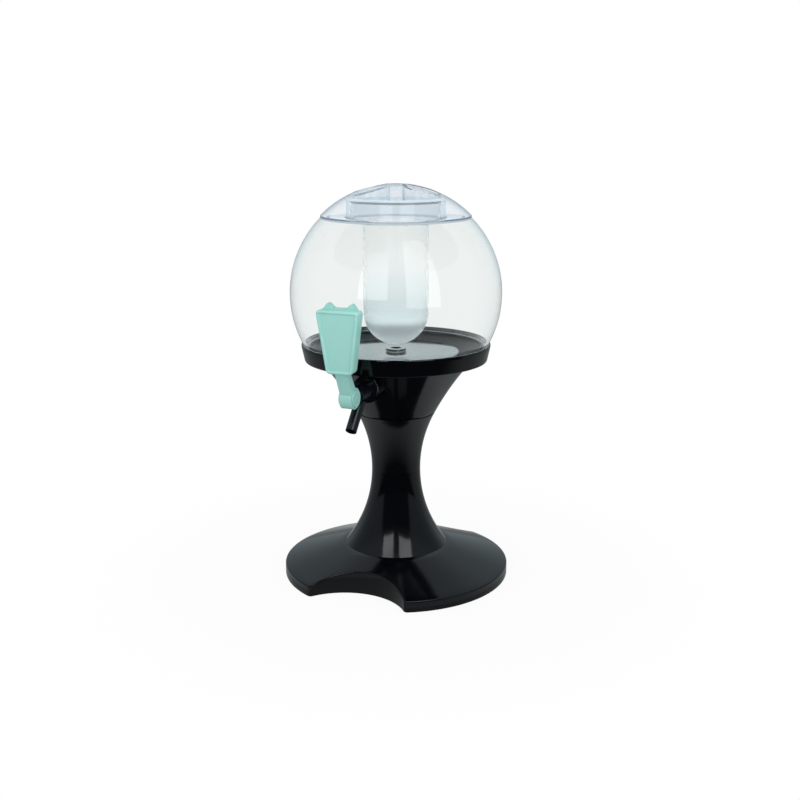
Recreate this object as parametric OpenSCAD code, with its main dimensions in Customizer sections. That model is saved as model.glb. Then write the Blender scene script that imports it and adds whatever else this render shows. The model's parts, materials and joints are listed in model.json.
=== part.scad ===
// Refrigerated drink dispenser: a clear globe tank on a black column, with a lever tap and an ice core.
// Lengths are in mm. The origin is on the table under the column's axis; +Z is up and the tap faces -Y.

/* [Foot plate] */
// Radius of the foot plate at its rim
base_r = 115.5; // [110:0.5:124]
// Height of the rim's upper edge above the table
base_rim_h = 11; // [9:0.5:15]
// Height of the column's seat above the table
base_top_h = 31; // [28:0.5:36]
// Wall of the foot plate
base_wall = 2.5; // [2:0.1:3.5]
// Radius of the cut-out for a glass
notch_r = 60.5; // [52:0.5:63]
// Distance from the column's axis to the middle of that cut-out
notch_offset = 138; // [135:0.5:146]
// Radius of a rubber pad
pad_r = 6; // [4:0.5:7.5]
// Distance of the pads from the column's axis
pad_offset = 105; // [100:0.5:106]

/* [Column] */
// Outer radius of the column at the foot plate
column_foot_r = 52.3; // [50:0.1:56]
// Outer radius of the waist
waist_r = 24.8; // [22:0.1:28]
// Height of the waist above the table
waist_h = 110; // [102:1:118]
// Outer radius at the seam under the tank
seam_r = 39.5; // [38.5:0.1:41]
// Height of the seam above the table
seam_h = 169.5; // [165:0.5:178]
// Wall of the column
column_wall = 2.5; // [2:0.1:2.8]
// Shaft radius of the screws in the column and the bowl
screw_r = 1.5; // [1.2:0.1:2]
// Distance of the column's screws from its axis
column_screw_offset = 42; // [41:0.5:43]

/* [Tank seat] */
// Height of the funnel above the seam
funnel_h = 60; // [57:0.5:63]
// Radius of the funnel's flare in profile
funnel_flare = 290; // [270:5:330]
// Wall of the funnel
funnel_wall = 2.5; // [2:0.1:3]
// Radius of the bayonet spigot under the funnel
spigot_r = 30; // [29:0.1:30.5]
// Radius of the bowl's rim
bowl_r = 94.5; // [93:0.1:97]
// Height of the bowl's rim above the funnel
bowl_h = 11.5; // [10.5:0.5:15]
// Thickness of the tank floor
floor_t = 2.5; // [2:0.1:3.5]
// Radius of the flat tank floor
floor_r = 64; // [56:0.5:72]
// Thickness of the gasket under the globe
gasket_t = 2; // [1.5:0.1:3]

/* [Globe and lid] */
// Outer radius of the globe
globe_r = 105; // [102:0.5:110]
// Wall of the globe
globe_wall = 2.5; // [2:0.1:3]
// Outer radius of the flat ring around the filling mouth
mouth_rim_r = 73.6; // [70:0.1:77]
// Radius of the lid's dome
dome_r = 105; // [100:0.5:115]
// Wall of the lid
lid_wall = 2.2; // [1.8:0.1:2.6]
// Height of the lid's upright edge
lid_edge_h = 1.8; // [1.2:0.1:3]
// Outer radius of the cup in the lid that takes the ice core
socket_r = 48.5; // [47.5:0.1:49]
// Depth of that cup below the mouth
plug_depth = 4; // [3.2:0.1:5]
// Radius of a finger well in the lid
well_r = 16.5; // [14:0.5:18]
// Half of the grip bar between the wells at its narrowest
grip_half = 10; // [8:0.5:12]
// Turn of the grip bar about the column's axis
grip_turn = 0; // [-30:1:30]
// Radius of the ice core
core_r = 32.5; // [28:0.5:36]
// Wall of the ice core
core_wall = 2; // [1.6:0.1:2.4]
// Gap between the ice core and the tank floor
core_gap = 7; // [5:0.5:17]

/* [Tap] */
// How far the tap's axis lies below the funnel's top
tap_drop = 21; // [20.5:0.1:21.5]
// Least distance that the tap's boss stands out of the funnel at the tap's axis
boss_proud = 11; // [10.6:0.1:14]
// Radius of the tap's barrel
barrel_r = 9.6; // [9.2:0.1:10.5]
// Length of the barrel in front of its flange
barrel_len = 21.5; // [21:0.5:24]
// Radius of the threaded shank
shank_r = 8; // [7.6:0.1:8.4]
// Radius of the spout
spout_r = 5.3; // [5:0.1:6]
// Slant of the spout below level
spout_slant = 42; // [40:1:48]
// Length of the spout from the barrel's axis
spout_len = 43.5; // [40:0.5:55]
// Radius of the valve stem
stem_r = 2; // [1.6:0.1:2.2]
// Travel of the valve
valve_travel = 4; // [3:0.1:4]
// Mean radius of the return spring
spring_r = 4.3; // [4:0.1:4.6]
// Radius of the spring's wire
wire_r = 0.5; // [0.4:0.05:0.6]

/* [Lever] */
// Radius of the lever's hub
hub_r = 10; // [9.6:0.1:10]
// Width of the lever's neck
neck_w = 12; // [11.6:0.2:14]
// Radius of the pivot pin
pin_r = 2; // [1.6:0.1:2.2]
// Swing of the lever in degrees
lever_swing = 40; // [30:1:40]
// Height of the paddle without its ears
paddle_h = 58; // [50:0.5:66]
// Width of the paddle at its upper edge
paddle_top_w = 42; // [36:0.5:46]
// Width of the paddle at its lower edge
paddle_low_w = 25.5; // [20:0.5:30]
// Thickness of the paddle
paddle_t = 13; // [10:0.2:14]
// Lean of the paddle away from the tank in degrees
paddle_lean = 3.4; // [2:0.1:8]
// Height of the ears behind the paddle's upper edge
ear_h = 5.5; // [4:0.5:8]
// Width of the raised border around the paddle's field
border_w = 3.2; // [2.5:0.1:4.5]
// Depth of the field inside the border
field_depth = 1.2; // [0.6:0.1:2]

/* [Hidden] */
$fn = 96;
eps = 0.02;
running_gap = 0.08;
fit_gap = 0.05;
loose_gap = 0.3;

function chord(radius, offset) = sqrt(pow(radius, 2) - pow(offset, 2));

// Foot plate
pad_t = 3;
base_round = 1.6;
seat_r = column_foot_r + 1.2;
post_r = 4.5;
post_h = 9;
screw_head_r = 3;
screw_head_h = 2.2;

// Column: two arcs that meet upright at the waist
low_rise = waist_h - base_top_h;
low_flare = (pow(column_foot_r - waist_r, 2) + pow(low_rise, 2)) / (2 * (column_foot_r - waist_r));
high_rise = seam_h - waist_h;
high_flare = (pow(seam_r - waist_r, 2) + pow(high_rise, 2)) / (2 * (seam_r - waist_r));
flange_t = 3;
lug_t = 3;
lug_r = spigot_r + 2.6;
lug_span = 34;
slot_span = 40;
lock_turn = 60;
spigot_len = 12;
spigot_wall = 2.5;
seam_bevel = 0.8;

// Funnel: one arc that runs on from the column's slope
seam_slope = asin(high_rise / high_flare);
flare_x = seam_r + funnel_flare * cos(seam_slope);
flare_z = seam_h - funnel_flare * sin(seam_slope);
funnel_top = seam_h + funnel_h;
function funnel_out(z) = flare_x - chord(funnel_flare, z - flare_z);
function funnel_in(z) = flare_x - chord(funnel_flare + funnel_wall, z - flare_z);

// Bowl
floor_z = funnel_top + floor_t;
rim_z = funnel_top + bowl_h;
skirt_z = funnel_top - 5.5;
skirt_t = 2.2;
bowl_draft = 3;
lip_t = 1.6;
rim_round = 0.9;
ledge_z = floor_z + 3;
bowl_seat_r = funnel_out(funnel_top) + 1.4;
groove_z = funnel_top + 3;
web_z = funnel_top - 3.4;
web_t = 2.6;
bowl_screw_offset = floor(funnel_in(web_z - web_t)) - 10;
web_r = bowl_screw_offset - 7;
locate_h = 3;
locate_t = 2;

// Globe
globe_rim_r = bowl_r - lip_t - fit_gap;
globe_z = rim_z + chord(globe_r, globe_rim_r);
globe_foot_z = ledge_z + gasket_t;
globe_foot_in = chord(globe_r - globe_wall, globe_foot_z - globe_z);
ledge_out = chord(globe_r + fit_gap, ledge_z - globe_z);
gasket_out = ledge_out - fit_gap;
gasket_in = globe_foot_in - 1.2;
ledge_in = gasket_in - 0.6;
mouth_z = globe_z + chord(globe_r, mouth_rim_r);

// Lid and ice core
lid_r = mouth_rim_r + 0.4;
dome_z = mouth_z + lid_edge_h - chord(dome_r, lid_r);
seal_t = 1.3;
mouth_r = socket_r + seal_t + 0.2;
plug_z = mouth_z - plug_depth;
socket_in = socket_r - lid_wall;
disc_top = dome_z + chord(dome_r - lid_wall, socket_r) - fit_gap;
disc_z = disc_top - lid_wall;
well_offset = grip_half + well_r;
ledge_t = 2.2;
ledge_reach = 1.8;
ledge_span = 58;
core_lug_span = 48;
cup_r = socket_in - ledge_reach - loose_gap;
core_lug_r = socket_in - loose_gap;
core_seal_t = 2;
cup_top = disc_z - core_seal_t - fit_gap;
cup_z = plug_z - 1.5;
core_ball_z = floor_z + core_gap + core_r;

// Tap, along its axis: distances from the column's axis
tap_z = funnel_top - tap_drop;
boss_r = 13.5;
boss_len = 25.5;
tap_washer_t = 1.5;
tap_flange_t = 3;
tap_flange_r = barrel_r + 2.9;
washer_r = tap_flange_r - 0.5;
boss_clear = 1;
boss_least = max(funnel_out(tap_z) + boss_proud, funnel_out(tap_z + washer_r) + boss_clear);
boss_reach = ceil(2 * boss_least) / 2;
nut_t = 6;
nut_r = 12.6;
nut_clear = 2;
boss_in = min(boss_reach - boss_len, funnel_in(tap_z - nut_r) - nut_clear);
flange_out = boss_reach + tap_washer_t + tap_flange_t;
barrel_end = flange_out + barrel_len;
shank_past = 12;
shank_end = boss_in - shank_past;
valve_bore_r = 6.4;
seat_at = flange_out + 1;
seat_t = 2.5;
port_r = stem_r + 1.7;
spout_at = flange_out + 3;
spout_bore_r = spout_r - 1.8;
plug_len = 5;
lip_len = 2;
bonnet_end = barrel_end + lip_len;
pivot_at = bonnet_end + hub_r + 1;
seal_len = 2;
piston_len = 4;
piston_r = 5.2;
piston_back = seat_at - fit_gap - seal_len - piston_len;
guide_len = 5;
guide_r = spring_r - wire_r - 0.6;
barb_depth = 18;
spring_seat = shank_end + barb_depth;
barb_r = 5.5;
barb_bore_r = 3.8;
barb_flange_t = 2;
hose_in = barb_r + fit_gap;
hose_r = 8;
hose_start = hose_r + 0.6;
barb_gap = 3.4;
barb_len = (shank_end - barb_flange_t - hose_start - barb_gap) / 2;
hose_end = shank_end - barb_flange_t - 0.6;
clip_w = 5;
clip_t = 1.2;
ring_thick = 0.9;

// Drain
drain_r = 8;
drain_flange_r = 10.2;
drain_flange_t = 2;
drain_washer_t = 1;
drain_nut_t = 5;
drain_bore_r = 5;
drain_low = tap_z - 9;

// Lever, about its pivot
ear_gap = loose_gap;
tongue_half = 2.2;
bonnet_ear_t = 2.2;
bonnet_ear_in = tongue_half + ear_gap;
bonnet_ear_out = bonnet_ear_in + bonnet_ear_t;
cheek_in = bonnet_ear_out + ear_gap;
bonnet_ear_r = 4.5;
web_in_r = 6.6;
web_from = -20;
web_to = 162;
cam_hub_r = 4;
tip_at = pin_r + stem_r + 2.7;
cam_rate = valve_travel / lever_swing;
cam_gap = 0.2;
paddle_out = 16.5;
paddle_up = 26.5;
pin_head_r = pin_r + 1.3;
pin_head_t = 0.8;
boss_disc_t = 1.5;
boss_disc_r = 8;
hub_w = neck_w + 2 * boss_disc_t;
ear_front = 6;
ear_x = 0.28 * paddle_top_w;
ear_outer = 0.09 * paddle_top_w;
ear_inner = 0.16 * paddle_top_w;
ear_dip = 1;
ear_steps = 44;

// Distance from the pivot to the middle of the stem's round tip when the lever has turned by a
function tip_reach(a) = tip_at + cam_rate * a;
function cam_slope() = cam_rate * 180 / PI;
function cam_norm(a) = sqrt(pow(tip_reach(a), 2) + pow(cam_slope(), 2));
// Radial and sideways place of the cam's edge under that tip
function cam_far(a) = tip_reach(a) * (1 - (stem_r + cam_gap) / cam_norm(a));
function cam_side(a) = (stem_r + cam_gap) * cam_slope() / cam_norm(a);
function cam_point(a) = [
    -cam_far(a) * cos(a) + cam_side(a) * sin(a),
    -cam_far(a) * sin(a) - cam_side(a) * cos(a)
];

// Upper edge of the ears: steep towards the paddle's sides, with a low wall between them
function ear_side(d) = min(1, d > 0 ? d / ear_outer : -d / ear_inner);
function ear_hump(x) = ear_h * pow(cos(90 * ear_side(abs(x) - ear_x)), 1.5);
function ear_rise(x) = max(ear_hump(x), abs(x) < ear_x ? ear_dip : 0);

// Places a child with its Z axis along the tap's axis, outward, and its Y axis up
module on_tap_axis() {
    translate([0, 0, tap_z])
        rotate([90, 0, 0])
            children();
}

// Places a child drawn out and up in its XY plane, spread evenly to both sides of the pivot
module on_pivot(width) {
    on_tap_axis()
        translate([0, 0, pivot_at])
            rotate([0, -90, 0])
                linear_extrude(width, center = true)
                    children();
}

module tube(length, outer, inner) {
    difference() {
        cylinder(h = length, r = outer);
        translate([0, 0, -eps])
            cylinder(h = length + 2 * eps, r = inner);
    }
}

module arc_block(inner, outer, low, high, middle, span) {
    rotate([0, 0, middle - span / 2])
        rotate_extrude(angle = span)
            translate([inner, low])
                square([outer - inner, high - low]);
}

module screw(shaft_len) {
    translate([0, 0, -screw_head_h])
        cylinder(h = screw_head_h, r = screw_head_r);
    cylinder(h = shaft_len, r = screw_r);
}

module at_column_screws() {
    for (turn = [30, 150, 270])
        rotate([0, 0, turn])
            translate([column_screw_offset, 0, 0])
                children();
}

module at_bowl_screws() {
    for (turn = [90, 210, 330])
        rotate([0, 0, turn])
            translate([bowl_screw_offset, 0, 0])
                children();
}

module at_pads() {
    for (turn = [0, 52, 128, 180, 232, 308])
        rotate([0, 0, turn])
            translate([pad_offset, 0, 0])
                children();
}

module notches(radius) {
    for (side = [-1, 1])
        translate([0, side * notch_offset, 0])
            cylinder(h = base_top_h + 2, r = radius, $fn = 180);
}

module base_profile(inset, low) {
    slope = atan2(base_top_h - base_rim_h, base_r - seat_r);
    edge = base_round * tan((90 - slope) / 2);
    intersection() {
        difference() {
            translate([0, low])
                square([base_r - inset, base_top_h - inset - low]);
            translate([base_r - inset * tan((90 - slope) / 2), base_rim_h - inset])
                rotate(180 - slope)
                    translate([-base_r, -base_r])
                        square([2 * base_r, base_r]);
        }
        union() {
            translate([0, low])
                square([base_r - inset, base_rim_h - edge - low]);
            translate([0, low])
                square([base_r - inset - edge, base_top_h - low]);
            translate([base_r - inset - base_round, base_rim_h - edge - inset * tan((90 - slope) / 2)])
                circle(r = base_round);
        }
    }
}

module base_shell() {
    color("#101214")
        difference() {
            rotate_extrude($fn = 180)
                base_profile(0, 0);
            difference() {
                rotate_extrude($fn = 180)
                    base_profile(base_wall, -1);
                translate([0, 0, -2])
                    notches(notch_r + base_wall);
                at_pads()
                    translate([0, 0, -2])
                        cylinder(h = base_top_h, r = pad_r + 1.5);
            }
            translate([0, 0, -1])
                notches(notch_r);
            at_pads()
                translate([0, 0, -1])
                    cylinder(h = pad_t + fit_gap + 1, r = pad_r + fit_gap);
            at_column_screws()
                cylinder(h = base_top_h + 1, r = screw_r + loose_gap);
        }
}

module base_pads() {
    color("#1b1b1b")
        at_pads()
            cylinder(h = pad_t, r = pad_r);
}

module column_profile(inset, low, high) {
    difference() {
        translate([0, low])
            square([column_foot_r + 10, high - low]);
        intersection() {
            translate([waist_r + low_flare, waist_h])
                circle(r = low_flare + inset, $fn = 240);
            translate([0, low - 1])
                square([column_foot_r + 20, waist_h - low + 1]);
        }
        intersection() {
            translate([waist_r + high_flare, waist_h])
                circle(r = high_flare + inset, $fn = 240);
            translate([0, waist_h])
                square([column_foot_r + 20, high - waist_h + 1]);
        }
    }
}

module column() {
    flange_z = seam_h - flange_t;
    color("#101214")
        difference() {
            union() {
                rotate_extrude($fn = 180)
                    difference() {
                        column_profile(0, base_top_h, seam_h);
                        column_profile(column_wall, base_top_h - 1, flange_z);
                    }
                intersection() {
                    at_column_screws()
                        translate([0, 0, base_top_h])
                            cylinder(h = post_h, r = post_r);
                    rotate_extrude($fn = 180)
                        column_profile(column_wall / 2, base_top_h - 1, waist_h);
                }
            }
            translate([0, 0, flange_z - 1])
                cylinder(h = flange_t + 2, r = spigot_r + loose_gap);
            for (turn = [0, 120, 240])
                arc_block(
                    spigot_r - 1, lug_r + loose_gap,
                    flange_z - 1, seam_h + 1, turn + lock_turn, slot_span
                );
            at_column_screws()
                translate([0, 0, base_top_h - 1])
                    cylinder(h = post_h - 1, r = screw_r);
        }
}

module column_screws() {
    color("#9a9da0")
        at_column_screws()
            translate([0, 0, base_top_h - base_wall])
                screw(base_wall + post_h - 3);
}

module funnel_profile(inset, low, high) {
    difference() {
        translate([0, low])
            square([funnel_out(funnel_top) + 10, high - low]);
        translate([flare_x, flare_z])
            circle(r = funnel_flare + inset, $fn = 360);
    }
}

module funnel() {
    inner_z = seam_h + flange_t;
    color("#101214")
        difference() {
            union() {
                rotate_extrude($fn = 180)
                    difference() {
                        funnel_profile(0, seam_h, funnel_top);
                        funnel_profile(funnel_wall, inner_z, funnel_top + 1);
                        translate([seam_r - seam_bevel, seam_h])
                            rotate(-45)
                                square(3);
                    }
                rotate_extrude($fn = 180)
                    intersection() {
                        funnel_profile(funnel_wall / 2, web_z - web_t, web_z);
                        translate([web_r, 0])
                            square([funnel_out(funnel_top), funnel_top]);
                    }
                translate([0, 0, seam_h - spigot_len])
                    cylinder(h = spigot_len + eps, r = spigot_r);
                for (turn = [0, 120, 240])
                    arc_block(
                        spigot_r - 1, lug_r,
                        seam_h - flange_t - loose_gap - lug_t, seam_h - flange_t - loose_gap, turn, lug_span
                    );
                on_tap_axis()
                    translate([0, 0, boss_in])
                        cylinder(h = boss_reach - boss_in, r = boss_r);
            }
            translate([0, 0, seam_h - spigot_len - 1])
                cylinder(h = spigot_len + flange_t + 2, r = spigot_r - spigot_wall);
            on_tap_axis()
                translate([0, 0, boss_in - 1])
                    cylinder(h = boss_reach - boss_in + 2, r = shank_r + loose_gap / 2);
            at_bowl_screws()
                translate([0, 0, web_z - web_t - 1])
                    cylinder(h = web_t + 2, r = screw_r + loose_gap);
        }
}

module bowl_profile() {
    low_r = bowl_r - bowl_draft;
    polygon([
        [drain_r + fit_gap, funnel_top],
        [bowl_seat_r, funnel_top],
        [bowl_seat_r, groove_z],
        [low_r - skirt_t, groove_z],
        [low_r - skirt_t, skirt_z],
        [low_r - rim_round, skirt_z],
        [low_r - 0.27 * rim_round, skirt_z + 0.27 * rim_round],
        [low_r + 0.1, skirt_z + rim_round],
        [bowl_r, rim_z - 3],
        [bowl_r, rim_z - rim_round],
        [bowl_r - 0.27 * rim_round, rim_z - 0.27 * rim_round],
        [bowl_r - rim_round, rim_z],
        [ledge_in, rim_z],
        [ledge_in, ledge_z],
        [floor_r, floor_z],
        [drain_r + fit_gap, floor_z]
    ]);
}

module bowl() {
    locate_out = funnel_in(funnel_top - locate_h) - loose_gap;
    color("#0c0d0f")
        difference() {
            union() {
                rotate_extrude($fn = 180)
                    bowl_profile();
                translate([0, 0, funnel_top - locate_h])
                    tube(locate_h + eps, locate_out, locate_out - locate_t);
                at_bowl_screws()
                    translate([0, 0, web_z])
                        cylinder(h = funnel_top - web_z + eps, r = post_r);
            }
            intersection() {
                translate([0, 0, globe_z])
                    sphere(r = globe_r + fit_gap, $fn = 180);
                translate([0, 0, ledge_z])
                    cylinder(h = bowl_h, r = bowl_r + 1);
            }
            at_bowl_screws()
                translate([0, 0, web_z - 1])
                    cylinder(h = funnel_top - web_z + 1.5, r = screw_r);
        }
}

module bowl_screws() {
    color("#9a9da0")
        at_bowl_screws()
            translate([0, 0, web_z - web_t])
                screw(web_t + funnel_top - web_z);
}

module globe_gasket() {
    color("#1c1d1f")
        translate([0, 0, ledge_z])
            tube(gasket_t, gasket_out, gasket_in);
}

module globe() {
    color("#dfeaea", 0.3)
        difference() {
            translate([0, 0, globe_z])
                sphere(r = globe_r, $fn = 180);
            intersection() {
                translate([0, 0, globe_z])
                    sphere(r = globe_r - globe_wall, $fn = 180);
                cylinder(h = mouth_z - globe_wall, r = globe_r);
            }
            translate([0, 0, globe_foot_z - 2 * globe_r])
                cylinder(h = 2 * globe_r, r = globe_r);
            translate([0, 0, mouth_z])
                cylinder(h = globe_r, r = globe_r);
            translate([0, 0, globe_z])
                cylinder(h = globe_r, r = mouth_r);
        }
}

module drain_elbow() {
    flange_z = floor_z + drain_washer_t;
    color("#17191b")
        difference() {
            union() {
                translate([0, 0, flange_z])
                    cylinder(h = drain_flange_t, r = drain_flange_r);
                translate([0, 0, drain_low])
                    cylinder(h = flange_z - drain_low, r = drain_r);
                on_tap_axis()
                    cylinder(h = hose_start + barb_len, r = barb_r);
            }
            translate([0, 0, drain_low + 2.5])
                cylinder(h = floor_z + 10 - drain_low, r = drain_bore_r);
            on_tap_axis()
                cylinder(h = hose_start + barb_len + 1, r = barb_bore_r);
        }
}

module drain_washer() {
    color("#c9cdcd")
        translate([0, 0, floor_z])
            tube(drain_washer_t, drain_flange_r - 0.4, drain_r + fit_gap);
}

module hex_nut(length, bore) {
    difference() {
        cylinder(h = length, r = nut_r, $fn = 6);
        translate([0, 0, -1])
            cylinder(h = length + 2, r = bore);
    }
}

module drain_nut() {
    color("#d6d6d2")
        translate([0, 0, funnel_top - drain_nut_t])
            hex_nut(drain_nut_t, drain_r + fit_gap);
}

module drain_hose() {
    color("#d9dddc")
        on_tap_axis()
            translate([0, 0, hose_start])
                tube(hose_end - hose_start, hose_r, hose_in);
}

module hose_clip() {
    difference() {
        union() {
            cylinder(h = clip_w, r = hose_r + fit_gap + clip_t);
            translate([-3, hose_r, 0])
                cube([6, 5, clip_w]);
        }
        translate([0, 0, -1])
            cylinder(h = clip_w + 2, r = hose_r + fit_gap);
        translate([-0.6, hose_r - 1, -1])
            cube([1.2, 10, clip_w + 2]);
    }
}

module hose_clips() {
    color("#a9adb0")
        on_tap_axis() {
            translate([0, 0, hose_start + 3])
                hose_clip();
            translate([0, 0, hose_end - 3 - clip_w])
                hose_clip();
        }
}

module tap_body() {
    color("#0d0f11")
        on_tap_axis()
            difference() {
                union() {
                    translate([0, 0, boss_reach + tap_washer_t])
                        cylinder(h = tap_flange_t, r = tap_flange_r);
                    translate([0, 0, flange_out])
                        cylinder(h = barrel_len, r = barrel_r);
                    translate([0, 0, shank_end])
                        cylinder(h = flange_out - shank_end, r = shank_r);
                    translate([0, 0, spout_at])
                        rotate([90 - spout_slant, 0, 0])
                            cylinder(h = spout_len, r = spout_r);
                }
                translate([0, 0, shank_end - 1])
                    cylinder(h = seat_at - shank_end + 1, r = valve_bore_r);
                translate([0, 0, seat_at - 1])
                    cylinder(h = seat_t + 2, r = port_r);
                translate([0, 0, seat_at + seat_t])
                    cylinder(h = barrel_len, r = valve_bore_r + loose_gap);
                translate([0, 0, spout_at])
                    rotate([90 - spout_slant, 0, 0])
                        translate([0, 0, valve_bore_r - 1])
                            cylinder(h = spout_len, r = spout_bore_r);
            }
}

module tap_washer() {
    color("#c9cdcd")
        on_tap_axis()
            translate([0, 0, boss_reach])
                tube(tap_washer_t, washer_r, shank_r + fit_gap);
}

module tap_nut() {
    color("#d6d6d2")
        on_tap_axis()
            translate([0, 0, boss_in - nut_t])
                hex_nut(nut_t, shank_r + fit_gap);
}

module inlet_barb() {
    color("#d6d6d2")
        on_tap_axis()
            difference() {
                union() {
                    translate([0, 0, shank_end])
                        cylinder(h = spring_seat - shank_end, r = valve_bore_r - fit_gap);
                    translate([0, 0, shank_end - barb_flange_t])
                        cylinder(h = barb_flange_t, r = shank_r);
                    translate([0, 0, shank_end - barb_flange_t - barb_len])
                        cylinder(h = barb_len + eps, r = barb_r);
                }
                translate([0, 0, shank_end - barb_flange_t - barb_len - 1])
                    cylinder(h = spring_seat, r = barb_bore_r);
            }
}

module bonnet() {
    color("#0d0f11")
        difference() {
            union() {
                on_tap_axis() {
                    translate([0, 0, barrel_end - plug_len])
                        cylinder(h = plug_len + eps, r = valve_bore_r + loose_gap - fit_gap);
                    translate([0, 0, barrel_end])
                        cylinder(h = lip_len, r = barrel_r - 0.2);
                }
                for (side = [-1, 1])
                    translate([side * (bonnet_ear_in + bonnet_ear_t / 2), 0, 0])
                        on_pivot(bonnet_ear_t) {
                            circle(r = bonnet_ear_r);
                            translate([bonnet_end - pivot_at - eps, -bonnet_ear_r])
                                square([pivot_at - bonnet_end, 2 * bonnet_ear_r]);
                        }
            }
            on_tap_axis() {
                translate([0, 0, barrel_end - plug_len - 1])
                    cylinder(h = plug_len + lip_len + 2, r = stem_r + running_gap);
                translate([0, 0, barrel_end - plug_len - 1])
                    cylinder(h = 1 + 2 * ring_thick, r = stem_r + running_gap + 2 * ring_thick);
            }
            on_pivot(hub_w)
                circle(r = pin_r + running_gap);
        }
}

module stem_ring() {
    color("#202224")
        on_tap_axis()
            translate([0, 0, barrel_end - plug_len + ring_thick])
                rotate_extrude()
                    translate([stem_r + running_gap + ring_thick, 0])
                        circle(r = ring_thick - eps, $fn = 24);
}

module plunger() {
    tip = pivot_at - tip_at;
    color("#e6e6e2")
        on_tap_axis() {
            translate([0, 0, piston_back + piston_len])
                cylinder(h = tip - piston_back - piston_len, r = stem_r);
            translate([0, 0, tip])
                sphere(r = stem_r, $fn = 48);
            translate([0, 0, piston_back])
                cylinder(h = piston_len, r = piston_r);
            translate([0, 0, piston_back - guide_len])
                cylinder(h = guide_len + eps, r = guide_r);
        }
}

module plunger_seal() {
    color("#3a3d40")
        on_tap_axis()
            translate([0, 0, piston_back + piston_len])
                tube(seal_len, port_r + 1.6, stem_r);
}

// Wire of the spring: rings of points along its winding
spring_turns = 8;
turn_rings = 8;
wire_sides = 6;
spring_from = spring_seat + wire_r + fit_gap;
spring_to = piston_back - wire_r - fit_gap;
spring_pitch = (spring_to - spring_from) / spring_turns;
function spring_at(t) = [
    spring_r * cos(360 * t),
    spring_r * sin(360 * t),
    spring_from + spring_pitch * t
];
function wire_point(t, a) =
    spring_at(t) + wire_r * (cos(a) * [cos(360 * t), sin(360 * t), 0] + sin(a) * [0, 0, 1]);
spring_rings = spring_turns * turn_rings;
spring_gap = norm(spring_at(1) - spring_at(0)) - 2 * wire_r;

module return_spring() {
    echo(least_spring_gap = spring_gap);
    points = [
        for (i = [0:spring_rings])
            for (j = [0:wire_sides - 1])
                wire_point(i / turn_rings, -360 * j / wire_sides)
    ];
    sides = [
        for (i = [0:spring_rings - 1])
            for (j = [0:wire_sides - 1])
                let (a = i * wire_sides + j, b = i * wire_sides + (j + 1) % wire_sides)
                    each [[a, b, b + wire_sides], [a, b + wire_sides, a + wire_sides]]
    ];
    ends = [
        for (j = [1:wire_sides - 2])
            each [
                [0, j + 1, j],
                [
                    spring_rings * wire_sides,
                    spring_rings * wire_sides + j,
                    spring_rings * wire_sides + j + 1
                ]
            ]
    ];
    color("#b9bcbf")
        on_tap_axis()
            polyhedron(points, concat(sides, ends), convexity = 8);
}

module paddle_front() {
    polygon([
        [-paddle_low_w / 2, 0],
        [paddle_low_w / 2, 0],
        [paddle_top_w / 2, paddle_h],
        [-paddle_top_w / 2, paddle_h]
    ]);
}

module paddle_ears() {
    reach = ear_x + ear_outer;
    polygon(concat(
        [[-reach, paddle_h - 1], [reach, paddle_h - 1]],
        [
            for (i = [0:ear_steps])
                let (x = reach * (1 - 2 * i / ear_steps))
                    [x, paddle_h + ear_rise(x)]
        ]
    ));
}

module paddle_field() {
    slope = (paddle_top_w - paddle_low_w) / 2 / paddle_h;
    low = paddle_low_w / 2 - border_w * (1 - slope);
    high = paddle_top_w / 2 - border_w * (1 + slope);
    polygon([
        [-low, border_w],
        [low, border_w],
        [high, paddle_h - border_w],
        [-high, paddle_h - border_w]
    ]);
}

// Places a child drawn in the paddle's front plane, with its Z axis out of the front
module on_paddle() {
    on_tap_axis()
        translate([0, paddle_up, pivot_at + paddle_out])
            rotate([paddle_lean, 0, 0])
                children();
}

module lever() {
    color("#9fd0c8")
        difference() {
            union() {
                for (side = [-1, 1]) {
                    translate([side * (cheek_in + neck_w / 2) / 2, 0, 0])
                        on_pivot(neck_w / 2 - cheek_in)
                            circle(r = hub_r);
                    translate([side * (hub_w / 2 - (boss_disc_t + eps) / 2), 0, 0])
                        on_pivot(boss_disc_t + eps)
                            circle(r = boss_disc_r);
                }
                on_pivot(neck_w) {
                    intersection() {
                        difference() {
                            circle(r = hub_r);
                            circle(r = web_in_r);
                        }
                        polygon(concat(
                            [[0, 0]],
                            [for (i = [0:6]) let (a = web_from + (web_to - web_from) * i / 6)
                                2 * hub_r * [sin(a), cos(a)]]
                        ));
                    }
                    polygon(concat(
                        [
                            [paddle_out - paddle_t / 2 + 1, paddle_up + 1],
                            [paddle_out + paddle_t / 2 - 2, paddle_up + 1]
                        ],
                        [for (a = [75:-30:-15]) (hub_r + web_in_r) / 2 * [sin(a), cos(a)]]
                    ));
                }
                on_pivot(2 * tongue_half) {
                    circle(r = cam_hub_r);
                    translate([0, -cam_hub_r])
                        square([hub_r - 2, 2 * cam_hub_r]);
                    polygon(concat(
                        [[0, 0]],
                        [for (i = [0:12]) cam_point(-10 + (lever_swing + 20) * i / 12)]
                    ));
                }
                on_paddle()
                    translate([0, 0, -paddle_t / 2])
                        linear_extrude(paddle_t)
                            paddle_front();
                on_paddle()
                    translate([0, 0, -paddle_t / 2])
                        linear_extrude(paddle_t - ear_front)
                            paddle_ears();
            }
            on_paddle()
                translate([0, 0, paddle_t / 2 - field_depth])
                    linear_extrude(field_depth + 1)
                        paddle_field();
            on_pivot(hub_w + 2)
                circle(r = pin_r + fit_gap);
        }
}

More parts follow.
